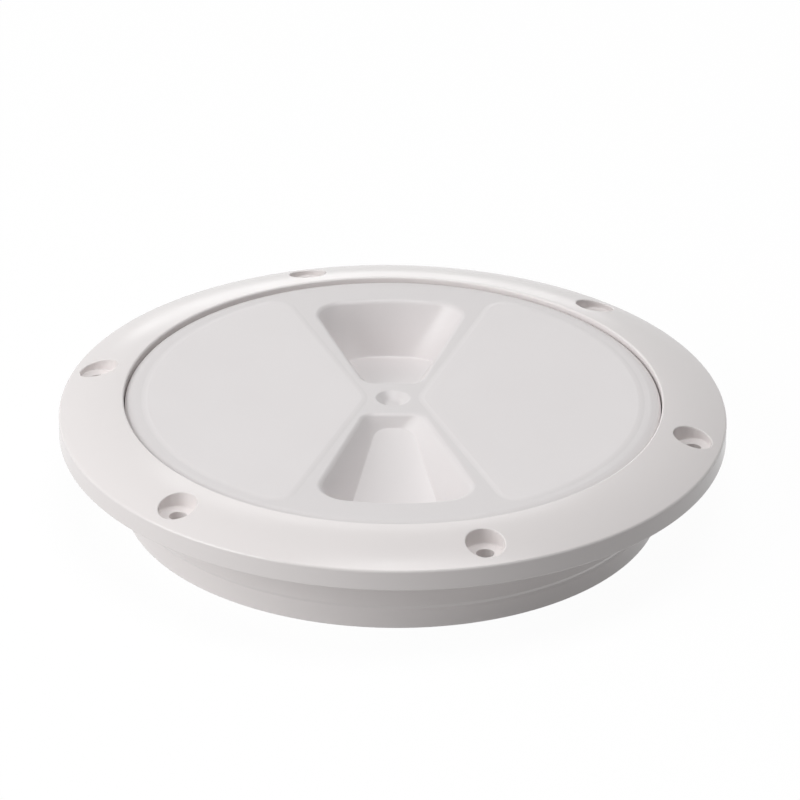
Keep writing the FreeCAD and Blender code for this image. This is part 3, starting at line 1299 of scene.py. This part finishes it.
@dataclass
class SealRing:
    """The rubber ring between the lid's rim and the ring's seat."""

    inner_radius: float
    outer_radius: float
    bottom: float
    top: float
    edge_rounding: float = 0.9 * MM

    @classmethod
    def from_frame(cls) -> "SealRing":
        """Sizes the seal by its solid.

        Returns:
            The seal, whose section is as wide as it is high.
        """
        low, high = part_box("seal_ring")
        outer = max(high.x, -low.x)
        return cls(inner_radius=outer - (high.z - low.z), outer_radius=outer, bottom=low.z, top=high.z)

    def build(self) -> bpy.types.Object:
        """Builds the ring: a square section with well rounded edges, turned about the axis.

        Returns:
            The dressed seal.
        """
        section = rounded_outline(np.array([
            [self.inner_radius, 0, self.bottom], [self.outer_radius, 0, self.bottom],
            [self.outer_radius, 0, self.top], [self.inner_radius, 0, self.top],
        ]), self.edge_rounding, steps=5)
        closed = np.concatenate([section, section[:1]])
        skin = Skin()
        skin.add(turned_surface(full_circle(240), [(radius, height) for radius, _, height in closed]))
        seal = skin.build("seal_band")
        dress(seal, Finish.SEAL, "seal", "seal_ring")
        return seal


# Studio


@dataclass(frozen=True)
class SoftLamp:
    """A wide plain lamp that faces the plate from a distance.

    Its strength is the radiance that it gives a white face turned to it at the plate. A disc's power for
    that is strength times pi squared times the sum of the squares of its distance and its radius.
    """

    name: str
    azimuth: float
    elevation: float
    strength: float
    width: float
    height: float
    distance: float = 1.8

    def build(self) -> bpy.types.Object:
        """Builds the lamp, an ellipse of the given width and height in metres.

        Returns:
            The lamp at its place.
        """
        light = bpy.data.lights.new(self.name, "AREA")
        light.shape = "ELLIPSE"
        light.size = self.width
        light.size_y = self.height
        light.energy = self.strength * math.pi ** 2 * (self.distance ** 2 + self.width * self.height / 4)
        towards = direction(self.azimuth, self.elevation)
        lamp = placed(self.name, light)
        lamp.location = towards * self.distance
        lamp.rotation_mode = "QUATERNION"
        lamp.rotation_quaternion = towards.to_track_quat("Z", "Y")
        return lamp


@dataclass
class Studio:
    """White studio: a faintly glowing table that keeps the plate's shadow, and four soft lamps."""

    floor_height: float
    floor_size: float = 4.0
    # The world and the floor are dim where they light the plate, and white where they are seen.
    surroundings: float = 0.09
    floor_glow: float = 0.27
    floor_bounce: str = "807F7F"
    floor_shadow: float = 0.05
    floor_white: float = 1.01
    # The low lamp behind is narrow. Its reflection draws the bright band along the glossy flange's rear.
    lamps: tuple[SoftLamp, ...] = (
        SoftLamp(
            "left_lamp", azimuth=206, elevation=24, strength=0.57, width=1.2, height=1.2, distance=1.3),
        SoftLamp("overhead_lamp", azimuth=0, elevation=86, strength=0.42, width=1.3, height=1.3),
        SoftLamp("rear_upper_lamp", azimuth=92, elevation=42, strength=0.05, width=0.75, height=0.5),
        SoftLamp("rear_strip_lamp", azimuth=91, elevation=9.5, strength=0.03, width=0.7, height=0.43),
    )

    def seen_directly(self, tree: bpy.types.NodeTree) -> bpy.types.NodeSocket:
        """Tells rays that show a thing from rays that light the plate by it.

        Args:
            tree: the node tree of the thing's material.

        Returns:
            One for rays from the camera, mirror-like rays and rays through glass, nought for all others.
        """
        path = add_node(tree, "ShaderNodeLightPath")
        shiny = add_node(tree, "ShaderNodeMath", {
            0: path.outputs["Is Camera Ray"], 1: path.outputs["Is Glossy Ray"]}, operation="MAXIMUM")
        clear = add_node(tree, "ShaderNodeMath", {
            0: shiny.outputs[0], 1: path.outputs["Is Transmission Ray"]}, operation="MAXIMUM")
        return clear.outputs[0]

    def build_world(self) -> None:
        """White surroundings, bright where they are seen and dimmer where they light the plate."""
        world = bpy.data.worlds.new("white_surroundings")
        world.use_nodes = True
        tree = world.node_tree
        tree.nodes.clear()
        strength = add_node(tree, "ShaderNodeMapRange", {
            "Value": self.seen_directly(tree), "To Min": self.surroundings, "To Max": 1.0})
        glow = add_node(tree, "ShaderNodeBackground", {
            "Color": (1, 1, 1, 1), "Strength": strength.outputs["Result"]})
        add_node(tree, "ShaderNodeOutputWorld", {"Surface": glow.outputs["Background"]})
        bpy.context.scene.world = world

    def build_floor(self) -> None:
        """White table that glows faintly, and that is clear from below so that the underside shows."""
        half = self.floor_size / 2
        corners = [(-half, -half), (half, -half), (half, half), (-half, half)]
        mesh = bpy.data.meshes.new("floor")
        mesh.from_pydata([(x, y, self.floor_height) for x, y in corners], [], [(0, 1, 2, 3)])
        floor = placed("floor", mesh)
        material, tree = blank_material("white_studio_floor")
        glow = add_node(tree, "ShaderNodeEmission", {"Color": (1, 1, 1, 1), "Strength": self.floor_glow})
        bounce = add_node(tree, "ShaderNodeBsdfDiffuse", {"Color": linear(self.floor_bounce)})
        plain = add_node(tree, "ShaderNodeAddShader", {0: glow.outputs[0], 1: bounce.outputs[0]})
        shadow = add_node(tree, "ShaderNodeBsdfDiffuse", {"Color": (1, 1, 1, 1)})
        white = add_node(tree, "ShaderNodeEmission", {"Color": (1, 1, 1, 1), "Strength": self.floor_white})
        shown = add_node(tree, "ShaderNodeMixShader", {
            0: self.floor_shadow, 1: white.outputs[0], 2: shadow.outputs[0]})
        choice = add_node(tree, "ShaderNodeMixShader", {
            0: self.seen_directly(tree), 1: plain.outputs[0], 2: shown.outputs[0]})
        clear = add_node(tree, "ShaderNodeBsdfTransparent")
        below = add_node(tree, "ShaderNodeNewGeometry").outputs["Backfacing"]
        surface = add_node(tree, "ShaderNodeMixShader", {
            0: below, 1: choice.outputs[0], 2: clear.outputs[0]})
        add_node(tree, "ShaderNodeOutputMaterial", {"Surface": surface.outputs[0]})
        mesh.materials.append(material)
        floor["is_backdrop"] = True

    def build(self) -> None:
        """World, floor and lamps, under the plain view transform."""
        bpy.context.scene.view_settings.view_transform = "Standard"
        self.build_world()
        self.build_floor()
        for lamp in self.lamps:
            lamp.build()


@dataclass
class PlateCamera:
    """Long-lens camera at the photograph's angle, aimed just beside the middle of the flange's lip."""

    lip_height: float
    azimuth: float = -91.3
    elevation: float = 27.19
    roll: float = 0.76
    distance: float = 1.569
    nearest: float = 0.05
    farthest: float = 20.0
    lens: float = 275.85
    sensor_width: float = 36.0
    aim_right: float = 1.77 * MM
    aim_down: float = 1.15 * MM

    def build(self) -> bpy.types.Object:
        """Builds the camera, whose axes are right, up and back, turned by the roll about back.

        Returns:
            The camera, which is the scene's.
        """
        back = direction(self.azimuth, self.elevation)
        right = Vector((0, 0, 1)).cross(back).normalized()
        axes = Matrix((right, back.cross(right), back)).transposed()
        axes = axes @ Matrix.Rotation(math.radians(self.roll), 3, "Z")
        aim = Vector((0, 0, self.lip_height)) + axes @ Vector((self.aim_right, -self.aim_down, 0))
        data = bpy.data.cameras.new("camera")
        data.sensor_width = self.sensor_width
        data.lens = self.lens
        data.clip_start = self.nearest
        data.clip_end = self.farthest
        camera = placed("camera", data)
        camera.matrix_world = Matrix.Translation(aim + back * self.distance) @ axes.to_4x4()
        bpy.context.scene.camera = camera
        return camera


def write_sizes() -> None:
    """Logs the box of the solids and the box of the dressed plate, as plain lists in metres."""
    boxes = {"cad": cad_box, "visual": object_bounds()}
    plain = {name: [list(low), list(high)] for name, (low, high) in boxes.items()}
    LOG.info("boxes: %s", plain)


def main() -> None:
    """Builds the plate, its studio and its camera."""
    logging.basicConfig(level=logging.INFO, format="%(name)s: %(message)s")
    ring = DeckRing.from_frame()
    Studio(floor_height=-ring.collar_depth).build()
    PlateCamera(lip_height=ring.lip_height).build()
    makers: list[DeckRing | Lid | SealRing] = [ring, Lid.from_frame(), SealRing.from_frame()]
    for maker in makers:
        piece = maker.build()
        LOG.info("%s is done, %d faces", piece.name, len(piece.data.polygons))
    write_sizes()


if __name__ == "__main__":
    main()
